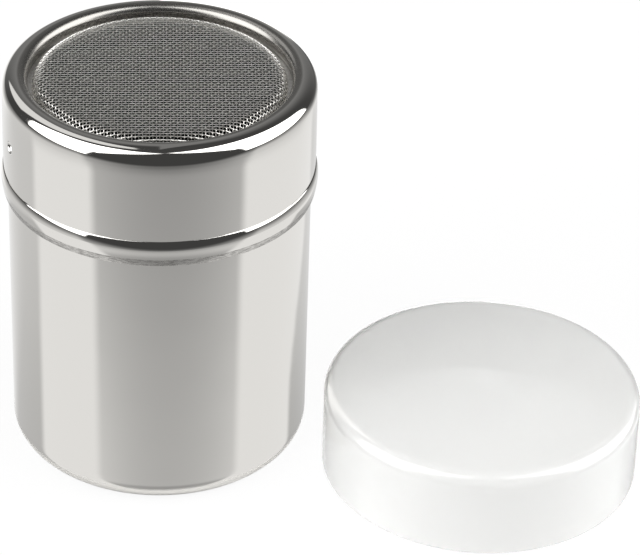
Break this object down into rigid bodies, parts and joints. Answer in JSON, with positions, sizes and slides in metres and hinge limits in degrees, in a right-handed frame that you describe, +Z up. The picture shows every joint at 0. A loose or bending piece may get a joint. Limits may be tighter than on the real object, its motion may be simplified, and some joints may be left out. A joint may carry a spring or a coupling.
{
  "type": "sieve shaker",
  "caption": "Polished steel sieve shaker for icing sugar, cocoa or ground spice: a drawn can, a bayonet lid with a wire-cloth sieve, and a translucent storage cap standing beside it.",
  "frame": {"origin": "centre of the can's flat base, on the surface that it stands on", "axes": "+Z up along the can's axis, +X to the right towards the storage cap, +Y away from the viewer"},
  "size_m": [0.144, 0.0866, 0.093],
  "materials": {
    "polished_steel": "mirror-polished stainless steel sheet",
    "wire_cloth": "plain-woven stainless steel wire",
    "pressed_steel": "plain mill finish, unpolished",
    "cap_plastic": "natural translucent moulded polypropylene, smooth"
  },
  "bodies": {
    "can": {"can_body": "polished_steel"},
    "lid": {"lid_shell": "polished_steel", "sieve_cloth": "wire_cloth", "sieve_ring": "pressed_steel"},
    "cap": {"storage_cap": "cap_plastic"}
  },
  "joints": [
    {"name": "lid_lift", "type": "slide", "parent": "can", "child": "lid", "axis": [0, 0, 1], "range_m": [0, 0.06]},
    {"name": "cap_lift", "type": "slide", "parent": "can", "child": "cap", "axis": [0, 0, 1], "range_m": [0, 0.1]}
  ]
}
